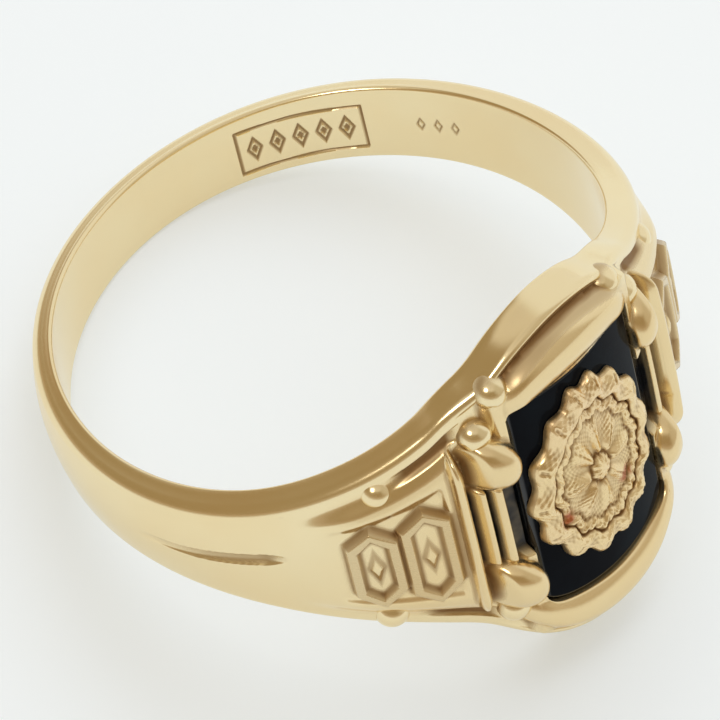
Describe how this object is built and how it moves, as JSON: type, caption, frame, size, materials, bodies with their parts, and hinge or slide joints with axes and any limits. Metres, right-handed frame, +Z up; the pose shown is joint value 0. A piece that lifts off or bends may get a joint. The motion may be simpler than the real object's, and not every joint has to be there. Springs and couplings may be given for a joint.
{
  "type": "pinky ring",
  "caption": "Small gold signet ring with a black stone set in its head, a scalloped medallion on the stone, and carved frames on its shoulders",
  "frame": {"origin": "centre of the footprint's box, on the table that the ring lies on", "axes": "+X points from the back of the band to the head, +Z up off the table; the ring lies on its side, resting on the head's lower rim and the back of the band, so the finger hole's axis leans from +Z towards -X"},
  "size_m": [0.0181, 0.0166, 0.0113],
  "materials": {
    "gold": "polished 10 karat yellow gold",
    "onyx": "polished black onyx"
  },
  "bodies": {
    "root": {"ring_body": "gold", "stone": "onyx", "crest": "gold"}
  },
  "joints": []
}
